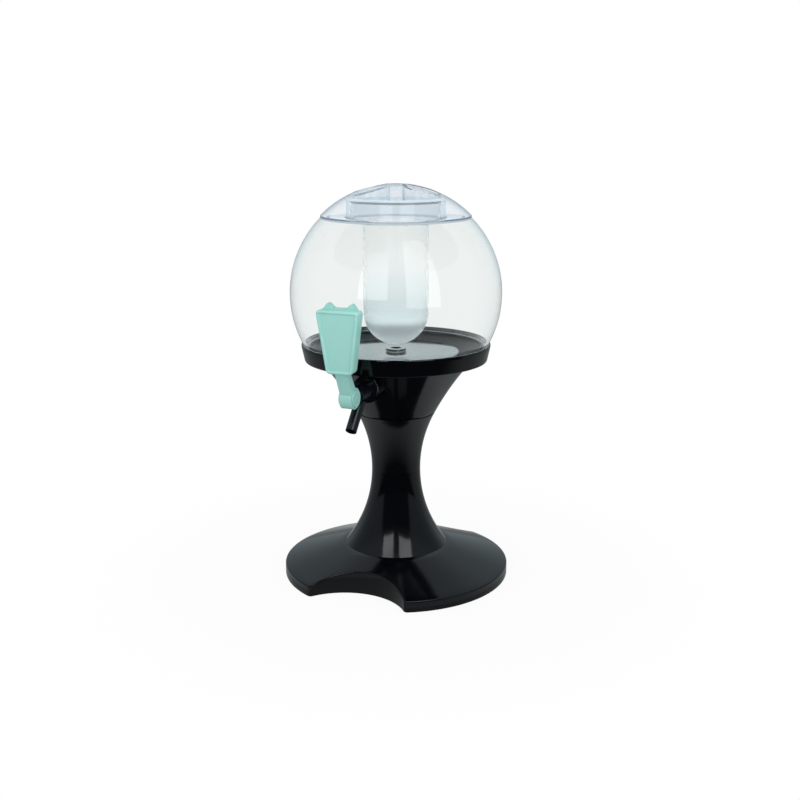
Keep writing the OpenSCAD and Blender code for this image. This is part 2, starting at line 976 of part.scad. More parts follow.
module pivot_pin() {
    color("#9fd0c8") {
        on_pivot(hub_w)
            circle(r = pin_r);
        for (side = [-1, 1])
            translate([side * (hub_w + pin_head_t) / 2, 0, 0])
                on_pivot(pin_head_t)
                    circle(r = pin_head_r);
    }
}

module at_wells() {
    for (side = [0, 180])
        rotate([0, 0, grip_turn + side])
            translate([well_offset, 0, 0])
                children();
}

module lid_dome() {
    color("#d4dde0", 0.35)
        difference() {
            union() {
                difference() {
                    intersection() {
                        translate([0, 0, dome_z])
                            sphere(r = dome_r, $fn = 180);
                        translate([0, 0, mouth_z])
                            cylinder(h = dome_r, r = lid_r, $fn = 180);
                    }
                    translate([0, 0, dome_z])
                        sphere(r = dome_r - lid_wall, $fn = 180);
                }
                intersection() {
                    translate([0, 0, dome_z])
                        sphere(r = dome_r - lid_wall / 2, $fn = 180);
                    at_wells()
                        translate([0, 0, disc_top])
                            cylinder(h = dome_r, r = well_r + lid_wall);
                }
            }
            at_wells()
                translate([0, 0, disc_top - 1])
                    cylinder(h = dome_r, r = well_r);
        }
}

module lid_socket() {
    color("#d4dde0", 0.35) {
        difference() {
            translate([0, 0, plug_z])
                cylinder(h = disc_top - plug_z, r = socket_r);
            translate([0, 0, plug_z - 1])
                cylinder(h = disc_z - plug_z + 1, r = socket_in);
        }
        for (turn = [0, 120, 240])
            arc_block(
                socket_in - ledge_reach, socket_in + lid_wall / 2,
                plug_z, plug_z + ledge_t, turn, ledge_span
            );
    }
}

module lid_seal() {
    color("#e3e7e7")
        translate([0, 0, mouth_z - globe_wall])
            tube(globe_wall, socket_r + seal_t, socket_r);
}

module core() {
    lug_z = plug_z + ledge_t + loose_gap;
    color("#eef2f2", 0.5)
        difference() {
            union() {
                translate([0, 0, core_ball_z])
                    sphere(r = core_r);
                translate([0, 0, core_ball_z])
                    cylinder(h = cup_z + core_wall - core_ball_z, r = core_r);
                translate([0, 0, cup_z])
                    cylinder(h = cup_top - cup_z, r = cup_r);
                for (turn = [0, 120, 240])
                    arc_block(cup_r - 1, core_lug_r, lug_z, lug_z + ledge_t, turn, core_lug_span);
            }
            translate([0, 0, core_ball_z])
                sphere(r = core_r - core_wall);
            translate([0, 0, core_ball_z])
                cylinder(h = cup_top - core_ball_z, r = core_r - core_wall);
            translate([0, 0, cup_z + core_wall])
                cylinder(h = cup_top - cup_z, r = cup_r - core_wall);
        }
}

module core_seal() {
    color("#e3e7e7")
        translate([0, 0, cup_top])
            tube(core_seal_t, cup_r, cup_r - core_wall);
}

base_shell();
base_pads();
column();
column_screws();
funnel();
bowl();
bowl_screws();
globe_gasket();
globe();
drain_elbow();
drain_washer();
drain_nut();
drain_hose();
hose_clips();
tap_body();
tap_washer();
tap_nut();
inlet_barb();
bonnet();
stem_ring();
plunger();
plunger_seal();
return_spring();
lever();
pivot_pin();
lid_dome();
lid_socket();
lid_seal();
core();
core_seal();
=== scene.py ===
# Refrigerated drink dispenser: the looks of its pieces, the studio and the camera.
# Lengths are in metres. +Z is up, the tap faces -Y, and the origin is on the table under the column.
import json
import math

import bmesh
import bpy
from mathutils import Matrix, Vector


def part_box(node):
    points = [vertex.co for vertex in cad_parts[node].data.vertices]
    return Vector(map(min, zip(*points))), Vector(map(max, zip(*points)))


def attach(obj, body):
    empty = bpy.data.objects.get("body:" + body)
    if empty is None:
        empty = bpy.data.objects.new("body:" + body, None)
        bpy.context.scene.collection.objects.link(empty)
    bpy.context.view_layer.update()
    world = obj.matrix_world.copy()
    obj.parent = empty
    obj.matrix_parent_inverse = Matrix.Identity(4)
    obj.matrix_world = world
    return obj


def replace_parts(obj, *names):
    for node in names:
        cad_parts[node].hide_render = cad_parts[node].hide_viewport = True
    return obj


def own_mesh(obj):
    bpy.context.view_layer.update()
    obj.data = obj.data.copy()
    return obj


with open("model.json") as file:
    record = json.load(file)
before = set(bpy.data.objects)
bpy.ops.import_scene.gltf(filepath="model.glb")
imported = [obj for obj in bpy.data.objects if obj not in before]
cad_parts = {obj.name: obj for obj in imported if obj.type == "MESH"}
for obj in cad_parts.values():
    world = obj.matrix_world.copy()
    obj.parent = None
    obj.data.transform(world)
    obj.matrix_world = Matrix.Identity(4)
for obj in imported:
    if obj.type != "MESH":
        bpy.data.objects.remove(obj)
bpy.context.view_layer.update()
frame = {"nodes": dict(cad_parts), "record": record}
nodes = frame["nodes"]
slot_of = {part["node"]: part["material_slot"] for part in frame["record"]["subparts"]}
scene = bpy.context.scene

MM = 0.001

# Foot plate
PLATE_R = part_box("base_shell")[1].x
PLATE_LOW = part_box("base_shell")[0].z
PLATE_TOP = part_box("base_shell")[1].z
PLATE_RIM = 11 * MM
PLATE_SEAT_R = 53.5 * MM
PLATE_WALL = 2.5 * MM
PLATE_EDGE = 1.6 * MM
PLATE_CORNER = 4 * MM
CUT_OUT_R = 60.5 * MM
CUT_OUT_AT = 138 * MM
PAD_R = 6.05 * MM
PAD_CLEAR = 0.05 * MM
PAD_WALL = 1.45 * MM
PAD_AT = 105 * MM
PAD_TURNS = (0, 52, 128, 180, 232, 308)

# Lever, about the axis of its pin
PIN_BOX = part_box("pivot_pin")
PIVOT = (PIN_BOX[0] + PIN_BOX[1]) / 2
HUB_R = 10 * MM
NECK_W = 12 * MM
PADDLE_OUT = 16.5 * MM
PADDLE_UP = 26.5 * MM
PADDLE_H = 58 * MM
PADDLE_TOP_W = 42 * MM
PADDLE_LOW_W = 25.5 * MM
PADDLE_T = 13 * MM
PADDLE_LEAN = math.radians(3.4)
EAR_AT = 0.28 * PADDLE_TOP_W
EAR_OUTER = 0.09 * PADDLE_TOP_W
EAR_INNER = 0.16 * PADDLE_TOP_W
EAR_H = 5.5 * MM
EAR_POWER = 1.5
EAR_WALL_H = 1.0 * MM
BORDER_W = 3.2 * MM
FIELD_DEPTH = 1.2 * MM
LOW_CORNER_R = 4.5 * MM
TOP_CORNER_R = 3.2 * MM
EDGE_ROUND = 0.9 * MM

# Globe of the tank, open below and with a flat ring around its mouth
GLOBE_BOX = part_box("globe")
GLOBE_R = GLOBE_BOX[1].y
GLOBE_WALL = 2.5 * MM
GLOBE_FOOT = GLOBE_BOX[0].z
MOUTH_Z = GLOBE_BOX[1].z
MOUTH_RIM_R = 73.6 * MM
MOUTH_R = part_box("lid_seal")[1].x + 0.2 * MM
GLOBE_Z = MOUTH_Z - math.sqrt(GLOBE_R ** 2 - MOUTH_RIM_R ** 2)

# Dish in the bowl: a flat disc with a slope around it
DISH_DISC_R = 64 * MM
DISH_DISC_EDGE = 2 * MM
DISH_RIM_R = 91 * MM

# Lid: a dome that stands on the ring around the globe's mouth
LID_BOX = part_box("lid_dome")
LID_R = LID_BOX[1].x
LID_LOW = LID_BOX[0].z
LID_WALL = 2.2 * MM
DOME_R = 105 * MM
DOME_Z = LID_BOX[1].z - DOME_R
WELL_R = 16.5 * MM
WELL_AT = 26.5 * MM
WELL_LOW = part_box("lid_socket")[1].z

# Painted light in clear plastic: a ray that has wandered past these counts ends in a set emitted colour
MANY_WALLS = 9.5
MANY_MIRRORINGS = 2.5
PAINTED_WANDER_GLOW = (0.74, 0.79, 0.83, 1)

# Dust on plastic and on rubber, and the depth of the waves that a mould leaves
PLASTIC_DUST = (0.36, 0.37, 0.37, 1)
RUBBER_DUST = (0.5, 0.5, 0.49, 1)
MOULD_WAVE = 0.2 * MM


# Shader nodes

def feed(tree, socket, value):
    """Gives an input a plain value, or the output that feeds it."""
    if isinstance(value, bpy.types.NodeSocket):
        tree.links.new(value, socket)
    else:
        socket.default_value = value


def add_node(tree, kind, inputs=None, **settings):
    """Adds a shader node with its settings and inputs."""
    node = tree.nodes.new("ShaderNode" + kind)
    for key, value in settings.items():
        setattr(node, key, value)
    for key, value in (inputs or {}).items():
        feed(tree, node.inputs[key], value)
    return node


def empty_tree(owner):
    """The emptied node tree of a material, lamp or world."""
    owner.use_nodes = True
    owner.node_tree.nodes.clear()
    return owner.node_tree


def math_node(tree, operation, first, second=0.0, clamp=False):
    return add_node(tree, "Math", {0: first, 1: second}, operation=operation, use_clamp=clamp).outputs[0]


def ramp_node(tree, value, low, high, to_low=0.0, to_high=1.0):
    """A smooth step of value between low and high."""
    spread = {"Value": value, "From Min": low, "From Max": high, "To Min": to_low, "To Max": to_high}
    return add_node(tree, "MapRange", spread, interpolation_type="SMOOTHSTEP").outputs["Result"]


def colour_mix(tree, share, first, second):
    """A mix of two colours, which are inputs 6 and 7 of the node, and output 2."""
    return add_node(tree, "Mix", data_type="RGBA", inputs={0: share, 6: first, 7: second}).outputs[2]


def along(tree, vector, direction):
    """How far a vector reaches along a direction."""
    return add_node(tree, "VectorMath", {0: vector, 1: direction}, operation="DOT_PRODUCT").outputs["Value"]


def length_of(tree, vector):
    return add_node(tree, "VectorMath", {0: vector}, operation="LENGTH").outputs["Value"]


def new_group(name, takes, gives):
    """An empty shader group with its named sockets, and its two end nodes."""
    group = bpy.data.node_groups.new(name, "ShaderNodeTree")
    for socket, kind, value in takes:
        made = group.interface.new_socket(name=socket, in_out="INPUT", socket_type="NodeSocket" + kind)
        made.default_value = value
    for socket, kind in gives:
        group.interface.new_socket(name=socket, in_out="OUTPUT", socket_type="NodeSocket" + kind)
    return group, group.nodes.new("NodeGroupInput"), group.nodes.new("NodeGroupOutput")


def object_place(tree, stretch=(1, 1, 1)):
    """Places on the piece in metres, stretched along its axes."""
    place = add_node(tree, "TexCoord").outputs["Object"]
    return add_node(tree, "Mapping", {"Vector": place, "Scale": stretch}).outputs["Vector"]


def moulded_skin_group():
    """Skin of an injection moulding: slow waves from the mould, a fine grain, and gloss that drifts."""
    group, takes, gives = new_group(
        "moulded_skin",
        [("Gloss", "Float", 0.1), ("Drift", "Float", 0.04), ("Grain Scale", "Float", 900.0)],
        [("Roughness", "Float"), ("Height", "Float")],
    )
    place = object_place(group)
    waves = add_node(group, "TexNoise", {"Vector": place, "Scale": 38.0, "Detail": 2.0})
    grain = add_node(group, "TexNoise", {
        "Vector": place, "Scale": takes.outputs["Grain Scale"], "Detail": 3.0, "Roughness": 0.6,
    })
    smears = add_node(group, "TexNoise", {
        "Vector": place, "Scale": 22.0, "Detail": 5.0, "Roughness": 0.65, "Distortion": 0.8,
    })
    swing = math_node(group, "SUBTRACT", smears.outputs["Fac"], 0.5)
    swing = math_node(group, "MULTIPLY", swing, takes.outputs["Drift"])
    gloss = math_node(group, "ADD", takes.outputs["Gloss"], math_node(group, "MULTIPLY", swing, 2.0), True)
    height = math_node(group, "MULTIPLY", grain.outputs["Fac"], 0.25)
    height = math_node(group, "ADD", height, waves.outputs["Fac"])
    group.links.new(gloss, gives.inputs["Roughness"])
    group.links.new(height, gives.inputs["Height"])
    return group


def dust_film_group():
    """Share of the surface under fine dust: more on what faces up, in soft patches with specks."""
    group, takes, gives = new_group(
        "dust_film", [("Amount", "Float", 0.1), ("Speck Scale", "Float", 1400.0)], [("Mask", "Float")],
    )
    facing = add_node(group, "SeparateXYZ", {"Vector": add_node(group, "TexCoord").outputs["Normal"]})
    upward = ramp_node(group, facing.outputs["Z"], 0.1, 1.0, 0.25, 1.0)
    place = object_place(group)
    patches = add_node(group, "TexNoise", {"Vector": place, "Scale": 30.0, "Detail": 4.0})
    specks = add_node(group, "TexNoise", {
        "Vector": place, "Scale": takes.outputs["Speck Scale"], "Detail": 1.0,
    })
    soft = ramp_node(group, patches.outputs["Fac"], 0.42, 0.72)
    fine = ramp_node(group, specks.outputs["Fac"], 0.64, 0.74)
    soft = math_node(group, "MULTIPLY", soft, 0.35)
    fine = math_node(group, "MULTIPLY", fine, 0.65)
    mask = math_node(group, "MULTIPLY", math_node(group, "ADD", soft, fine), upward)
    mask = math_node(group, "MULTIPLY", mask, takes.outputs["Amount"])
    group.links.new(mask, gives.inputs["Mask"])
    return group


def colour_drift_group():
    """The small drift of colour that a moulding has from pigment and flow."""
    group, takes, gives = new_group(
        "colour_drift",
        [("Colour", "Color", (0.5, 0.5, 0.5, 1)), ("Drift", "Float", 0.05), ("Scale", "Float", 26.0)],
        [("Colour", "Color")],
    )
    flow = add_node(group, "TexNoise", {
        "Vector": object_place(group), "Scale": takes.outputs["Scale"], "Detail": 4.0, "Distortion": 0.6,
    })
    swing = math_node(group, "SUBTRACT", flow.outputs["Fac"], 0.5)
    value = math_node(group, "ADD", math_node(group, "MULTIPLY", swing, takes.outputs["Drift"]), 1.0)
    turned_hue = math_node(group, "ADD", math_node(group, "MULTIPLY", swing, 0.02), 0.5)
    drifted = add_node(group, "HueSaturation", {
        "Hue": turned_hue, "Value": value, "Color": takes.outputs["Colour"],
    })
    group.links.new(drifted.outputs["Color"], gives.inputs["Colour"])
    return group


def lower_end_group():
    """Share of the surface that belongs to the lower end of a piece."""
    group, takes, gives = new_group(
        "lower_end", [("Start", "Float", 0.4), ("Full", "Float", 0.2)], [("Mask", "Float")],
    )
    climb = add_node(group, "SeparateXYZ", {"Vector": add_node(group, "TexCoord").outputs["Generated"]})
    mask = ramp_node(group, climb.outputs["Z"], takes.outputs["Full"], takes.outputs["Start"], 1.0, 0.0)
    group.links.new(mask, gives.inputs["Mask"])
    return group


def dish_zones_group():
    """The flat disc in the middle of the bowl, and the slope around it."""
    group, takes, gives = new_group(
        "dish_zones", [("Disc", "Float", DISH_DISC_R), ("Rim", "Float", DISH_RIM_R)],
        [("Disc", "Float"), ("Slope", "Float")],
    )
    level = add_node(group, "VectorMath", {0: object_place(group), 1: (1, 1, 0)}, operation="MULTIPLY")
    away = length_of(group, level.outputs["Vector"])
    edge = math_node(group, "SUBTRACT", takes.outputs["Disc"], DISH_DISC_EDGE)
    disc = ramp_node(group, away, edge, takes.outputs["Disc"], 1.0, 0.0)
    beyond = math_node(group, "LESS_THAN", takes.outputs["Rim"], away)
    slope = math_node(group, "SUBTRACT", math_node(group, "SUBTRACT", 1.0, disc), beyond, True)
    group.links.new(disc, gives.inputs["Disc"])
    group.links.new(slope, gives.inputs["Slope"])
    return group


def drawn_lines_group():
    """Fine lines that a tool leaves along a metal piece."""
    group, takes, gives = new_group(
        "drawn_lines", [("Scale", "Float", 2600.0), ("Gloss", "Float", 0.25)],
        [("Roughness", "Float"), ("Height", "Float")],
    )
    lines = add_node(group, "TexNoise", {
        "Vector": object_place(group, (0.06, 1, 1)), "Scale": takes.outputs["Scale"], "Detail": 4.0,
    })
    swing = math_node(group, "MULTIPLY", math_node(group, "SUBTRACT", lines.outputs["Fac"], 0.5), 0.3)
    gloss = math_node(group, "ADD", takes.outputs["Gloss"], swing, True)
    group.links.new(gloss, gives.inputs["Roughness"])
    group.links.new(lines.outputs["Fac"], gives.inputs["Height"])
    return group


MOULDED_SKIN = moulded_skin_group()
DUST_FILM = dust_film_group()
COLOUR_DRIFT = colour_drift_group()
DRAWN_LINES = drawn_lines_group()
LOWER_END = lower_end_group()
DISH_ZONES = dish_zones_group()


def use_group(tree, group, **values):
    """Places a shader group in a material, with the material's own values."""
    node = add_node(tree, "Group", node_tree=group)
    for key, value in values.items():
        feed(tree, node.inputs[key.replace("_", " ").title()], value)
    return node


def new_material(name):
    """A material with an empty tree, its Principled shader and its output."""
    material = bpy.data.materials.new(name)
    tree = empty_tree(material)
    shader = add_node(tree, "BsdfPrincipled")
    output = add_node(tree, "OutputMaterial", {"Surface": shader.outputs["BSDF"]})
    return material, tree, shader, output


def bump(tree, shader, height, strength, depth):
    """Feeds a height to the shader's normal. depth is the real height of the relief."""
    node = add_node(tree, "Bump", {"Height": height, "Strength": strength, "Distance": depth})
    tree.links.new(node.outputs["Normal"], shader.inputs["Normal"])


def moulded_plastic(name, colour, gloss, drift, shine, dust, wave, grain=900.0):
    """Opaque moulded plastic: drifting pigment, a skin with mould waves, and a film of dust."""
    material, tree, shader, _ = new_material(name)
    pigment = use_group(tree, COLOUR_DRIFT, colour=(*colour, 1), drift=0.12)
    skin = use_group(tree, MOULDED_SKIN, gloss=gloss, drift=drift, grain_scale=grain)
    film = use_group(tree, DUST_FILM, amount=dust)
    seen = colour_mix(tree, film.outputs["Mask"], pigment.outputs["Colour"], PLASTIC_DUST)
    tree.links.new(seen, shader.inputs["Base Color"])
    dulled = math_node(tree, "MULTIPLY", film.outputs["Mask"], 0.5)
    dull = math_node(tree, "ADD", skin.outputs["Roughness"], dulled, True)
    tree.links.new(dull, shader.inputs["Roughness"])
    shader.inputs["Specular IOR Level"].default_value = shine
    bump(tree, shader, skin.outputs["Height"], wave, MOULD_WAVE)
    return material, shader


def clear_plastic(
    name, tint, edge, gloss, drift, bend, haze=0.0, low_tint=None, low_frost=0.0, painted_tip_glow=0.0,
):
    """Clear moulded plastic. Light from the lamps passes it, so that what is behind it is lit.

    Light that passes many walls ends in a painted pale glow, and light held in a wall ends in a painted glow
    of the edge colour, which stands in for the light and shade along its edges.
    With a low_tint, the piece takes that tint and is frosted towards its lower end, and its tip shows a
    painted glow in that tint, of the strength given for it, which stands in for the light that the tip
    scatters."""
    material, tree, shader, output = new_material(name)
    seen = use_group(tree, COLOUR_DRIFT, colour=(*tint, 1), drift=0.025, scale=14.0).outputs["Colour"]
    skin = use_group(tree, MOULDED_SKIN, gloss=gloss, drift=drift, grain_scale=700.0)
    dull = skin.outputs["Roughness"]
    if low_tint:
        low = use_group(tree, LOWER_END, start=0.62, full=0.12).outputs["Mask"]
        seen = colour_mix(tree, low, seen, (*low_tint, 1))
        dull = math_node(tree, "ADD", dull, math_node(tree, "MULTIPLY", low, low_frost), True)
        # Painted glow: the tip emits in the low tint, standing in for the light it scatters
        tip = use_group(tree, LOWER_END, start=0.27, full=0.03).outputs["Mask"]
        painted_tip_colour = colour_mix(tree, tip, (0.0, 0.0, 0.0, 1), (*low_tint, 1))
        tree.links.new(painted_tip_colour, shader.inputs["Emission Color"])
        shader.inputs["Emission Strength"].default_value = painted_tip_glow
    tree.links.new(seen, shader.inputs["Base Color"])
    tree.links.new(dull, shader.inputs["Roughness"])
    shader.inputs["Transmission Weight"].default_value = 1.0 - haze
    shader.inputs["IOR"].default_value = bend
    bump(tree, shader, skin.outputs["Height"], 0.05, MOULD_WAVE)
    let_by = add_node(tree, "BsdfTransparent", {"Color": (*[0.5 + 0.5 * c for c in tint], 1)})
    path = add_node(tree, "LightPath")
    both = add_node(tree, "MixShader", {
        0: path.outputs["Is Shadow Ray"], 1: shader.outputs["BSDF"], 2: let_by.outputs["BSDF"],
    })
    # Painted light: past many walls or mirrorings a ray ends in an emitted colour, pale or the edge colour,
    # and is not traced on
    many_walls = math_node(tree, "GREATER_THAN", path.outputs["Ray Depth"], MANY_WALLS)
    held_in = math_node(tree, "GREATER_THAN", path.outputs["Glossy Depth"], MANY_MIRRORINGS)
    painted_wander_share = math_node(tree, "MAXIMUM", many_walls, held_in)
    painted_wander_colour = colour_mix(tree, held_in, PAINTED_WANDER_GLOW, (*edge, 1))
    painted_wander_emission = add_node(tree, "Emission", {"Color": painted_wander_colour})
    both = add_node(tree, "MixShader", {0: painted_wander_share, 1: both.outputs["Shader"], 2: painted_wander_emission.outputs["Emission"]})
    tree.links.new(both.outputs["Shader"], output.inputs["Surface"])
    return material


def soft_rubber(name, colour, gloss, glow=0.0):
    """Rubber or silicone: dull, finely grained and dusty."""
    material, tree, shader, _ = new_material(name)
    pigment = use_group(tree, COLOUR_DRIFT, colour=(*colour, 1), drift=0.15, scale=60.0)
    skin = use_group(tree, MOULDED_SKIN, gloss=gloss, drift=0.1, grain_scale=2200.0)
    film = use_group(tree, DUST_FILM, amount=0.12, speck_scale=2400.0)
    seen = colour_mix(tree, film.outputs["Mask"], pigment.outputs["Colour"], RUBBER_DUST)
    tree.links.new(seen, shader.inputs["Base Color"])
    tree.links.new(skin.outputs["Roughness"], shader.inputs["Roughness"])
    shader.inputs["Subsurface Weight"].default_value = glow
    shader.inputs["Subsurface Scale"].default_value = 1.5 * MM
    bump(tree, shader, skin.outputs["Height"], 0.3, 0.1 * MM)
    return material


def worked_steel(name, colour, gloss):
    """Steel with the lines of its drawing or grinding."""
    material, tree, shader, _ = new_material(name)
    pigment = use_group(tree, COLOUR_DRIFT, colour=(*colour, 1), drift=0.1, scale=120.0)
    lines = use_group(tree, DRAWN_LINES, gloss=gloss)
    tree.links.new(pigment.outputs["Colour"], shader.inputs["Base Color"])
    tree.links.new(lines.outputs["Roughness"], shader.inputs["Roughness"])
    shader.inputs["Metallic"].default_value = 1.0
    bump(tree, shader, lines.outputs["Height"], 0.15, 0.05 * MM)
    return material


GLOSS_BLACK = {
    "colour": (0.0014, 0.0016, 0.0026),
    "gloss": 0.1, "drift": 0.05, "shine": 0.5, "dust": 0.012, "wave": 0.035,
}


def bowl_black():
    """Gloss black with a polished disc in the dish and a satin slope around it."""
    material, shader = moulded_plastic("bowl_black", **GLOSS_BLACK)
    tree = material.node_tree
    zones = use_group(tree, DISH_ZONES)
    dull = shader.inputs["Roughness"].links[0].from_socket
    satin = math_node(tree, "MULTIPLY", zones.outputs["Slope"], 0.45)
    polish = math_node(tree, "MULTIPLY", zones.outputs["Disc"], 0.8)
    tree.links.new(math_node(tree, "ADD", dull, satin, True), shader.inputs["Roughness"])
    tree.links.new(polish, shader.inputs["Coat Weight"])
    shader.inputs["Coat Roughness"].default_value = 0.06
    return material


def mint_plastic():
    """The lever's green plastic, which lets a little light in."""
    material, shader = moulded_plastic(
        "mint", (0.315, 0.625, 0.575), gloss=0.36, drift=0.06, shine=0.5, dust=0.02, wave=0.12, grain=1600.0,
    )
    shader.inputs["Subsurface Weight"].default_value = 0.12
    shader.inputs["Subsurface Scale"].default_value = 1.2 * MM
    return material


FINISH = {
    "black_gloss": moulded_plastic("black_gloss", **GLOSS_BLACK)[0],
    "tap_black": moulded_plastic(
        "tap_black", (0.0025, 0.004, 0.008), gloss=0.14, drift=0.06, shine=0.5, dust=0.012, wave=0.06,
    )[0],
    # edge is the colour of the painted glow for light held in a wall, darkest and bluest on the lid
    "clear_tank": clear_plastic(
        "clear_tank", (0.936, 0.954, 0.947), edge=(0.52, 0.58, 0.62), gloss=0.012, drift=0.008, bend=1.36,
    ),
    "clear_lid": clear_plastic(
        "clear_lid", (0.948, 0.966, 0.984), edge=(0.2, 0.25, 0.34), gloss=0.02, drift=0.012, bend=1.32,
    ),
    "frosted_core": clear_plastic(
        "frosted_core", (0.985, 0.992, 0.99), edge=(0.7, 0.74, 0.75), gloss=0.04, drift=0.02, bend=1.12,
        haze=0.05, low_tint=(0.85, 0.912, 0.928), low_frost=0.26, painted_tip_glow=0.1,
    ),
    "mint": mint_plastic(),
    "pad_rubber": soft_rubber("pad_rubber", (0.012, 0.012, 0.012), gloss=0.72),
    "screw_steel": worked_steel("screw_steel", (0.5, 0.51, 0.52), gloss=0.3),
    "spring_steel": worked_steel("spring_steel", (0.52, 0.53, 0.54), gloss=0.26),
    "seal_rubber": soft_rubber("seal_rubber", (0.62, 0.65, 0.65), gloss=0.42, glow=0.3),
    "ring_rubber": soft_rubber("ring_rubber", (0.02, 0.02, 0.022), gloss=0.6),
    "white_fitting": moulded_plastic(
        "white_fitting", (0.7, 0.7, 0.67), gloss=0.42, drift=0.06, shine=0.4, dust=0.05, wave=0.1,
    )[0],
}


# Mesh making

def mesh_object(name, bm):
    """Turns a bmesh into an object, with doubled vertices joined and all faces turned outward."""
    bmesh.ops.remove_doubles(bm, verts=bm.verts, dist=1e-7)
    bmesh.ops.recalc_face_normals(bm, faces=bm.faces)
    mesh = bpy.data.meshes.new(name)
    bm.to_mesh(mesh)
    bm.free()
    made = bpy.data.objects.new(name, mesh)
    scene.collection.objects.link(made)
    return made


def new_piece(name, bm, body, slot, sharp=32):
    """Turns a bmesh into a piece that rides a body and has a finish. Edges over sharp degrees stay sharp."""
    piece = mesh_object(name, bm)
    mesh = piece.data
    mesh.polygons.foreach_set("use_smooth", [True] * len(mesh.polygons))
    mesh.set_sharp_from_angle(angle=math.radians(sharp))
    mesh.materials.append(FINISH[slot])
    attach(piece, body)
    return piece


def skin_rings(bm, rings, closed=False):
    """Faces between rings of equally many vertices. A ring of one vertex is a pole."""
    pairs = list(zip(rings, rings[1:] + rings[:1])) if closed else list(zip(rings, rings[1:]))
    count = max(len(ring) for ring in rings)
    for one, two in pairs:
        for i in range(count):
            j = (i + 1) % count
            corners = [one[i % len(one)], one[j % len(one)], two[j % len(two)], two[i % len(two)]]
            corners = list(dict.fromkeys(corners))
            if len(corners) > 2:
                bm.faces.new(corners)


def arc_angles(start, end, count):
    return [start + (end - start) * i / count for i in range(count + 1)]


def full_turn(count):
    return arc_angles(0, 2 * math.pi, count)[:-1]


def arc_points(middle, radius, start, end, count):
    """Points of a profile on an arc: radius and height. Angles start straight up and turn outward."""
    return [
        (middle[0] + radius * math.sin(a), middle[1] + radius * math.cos(a))
        for a in arc_angles(start, end, count)
    ]


def turned(bm, profile, count=144, closed=False):
    """A solid turned about the column's axis. Its profile is closed, or starts and ends on that axis."""
    rings = []
    for radius, height in profile:
        if radius < 1e-9:
            rings.append([bm.verts.new((0, 0, height))])
        else:
            rings.append([
                bm.verts.new((radius * math.cos(a), radius * math.sin(a), height)) for a in full_turn(count)
            ])
    skin_rings(bm, rings, closed)


# Foot plate

PLATE_SLOPE = (PLATE_TOP - PLATE_RIM) / (PLATE_R - PLATE_SEAT_R)


def plate_height(place):
    """Height of the foot plate's upper face: level under the column, then a cone down to the rim."""
    return PLATE_TOP - max(0.0, place.xy.length - PLATE_SEAT_R) * PLATE_SLOPE


def plate_outline():
    """Points of the plate's edge in plan with their outward normals: rim, rounded corner, cut-out, corner."""
    near = PLATE_R - PLATE_CORNER
    far = CUT_OUT_R + PLATE_CORNER
    corner_y = (near ** 2 - far ** 2 + CUT_OUT_AT ** 2) / (2 * CUT_OUT_AT)
    corner_x = math.sqrt(near ** 2 - corner_y ** 2)
    rim_turn = math.atan2(corner_y, corner_x)
    cut_turn = math.atan2(CUT_OUT_AT - corner_y, -corner_x)
    runs = [
        ((0, 0), PLATE_R, -rim_turn, rim_turn, 72),
        ((corner_x, corner_y), PLATE_CORNER, rim_turn, cut_turn, 10),
        ((0, CUT_OUT_AT), -CUT_OUT_R, cut_turn, math.pi - cut_turn, 56),
        ((-corner_x, corner_y), PLATE_CORNER, math.pi - cut_turn, math.pi - rim_turn, 10),
    ]
    outline = []
    for half in (0, math.pi):
        half_turn = Matrix.Rotation(half, 3, "Z")
        for (x, y), radius, start, end, count in runs:
            for angle in arc_angles(start, end, count)[:-1]:
                normal = Vector((math.cos(angle), math.sin(angle), 0))
                point = Vector((x, y, 0)) + radius * normal
                outline.append((half_turn @ point, half_turn @ normal))
    return outline


def plate_section(point, normal):
    """Section of the plate's edge at a point of its outline: distances in from the edge, and heights."""
    rise = -PLATE_SLOPE * point.normalized().dot(normal)
    lean = math.sqrt(1 + rise ** 2)
    middle = plate_height(point - PLATE_EDGE * normal) - PLATE_EDGE * lean
    section = [
        (PLATE_EDGE * (1 - math.cos(angle)), middle + PLATE_EDGE * math.sin(angle))
        for angle in arc_angles(math.atan2(1, -rise), 0, 6)
    ]
    foot = 0.5 * MM
    section += [
        (foot * (1 - math.cos(angle)), PLATE_LOW + foot - foot * math.sin(angle))
        for angle in arc_angles(0, math.pi / 2, 3)
    ]
    inside = plate_height(point - PLATE_WALL * normal) - PLATE_WALL * lean
    return section + [(PLATE_WALL, PLATE_LOW), (PLATE_WALL, inside)]


def pad_boss(bm, turn):
    """A socket for a rubber pad under the plate, up into the plate's wall."""
    middle = Vector((PAD_AT * math.cos(turn), PAD_AT * math.sin(turn), 0))
    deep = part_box("base_pads")[1].z + PAD_CLEAR
    outer = PAD_R + PAD_WALL
    levels = [(PAD_R, deep), (PAD_R, PLATE_LOW), (outer, PLATE_LOW), (outer, None)]
    rings = [[bm.verts.new(middle + Vector((0, 0, deep)))]]
    for radius, level in levels:
        ring = []
        for angle in full_turn(32):
            place = middle + radius * Vector((math.cos(angle), math.sin(angle), 0))
            place.z = plate_height(place) - PLATE_WALL / 2 if level is None else level
            ring.append(bm.verts.new(place))
        rings.append(ring)
    top = middle.copy()
    top.z = plate_height(middle) - PLATE_WALL / 2
    rings.append([bm.verts.new(top)])
    skin_rings(bm, rings)


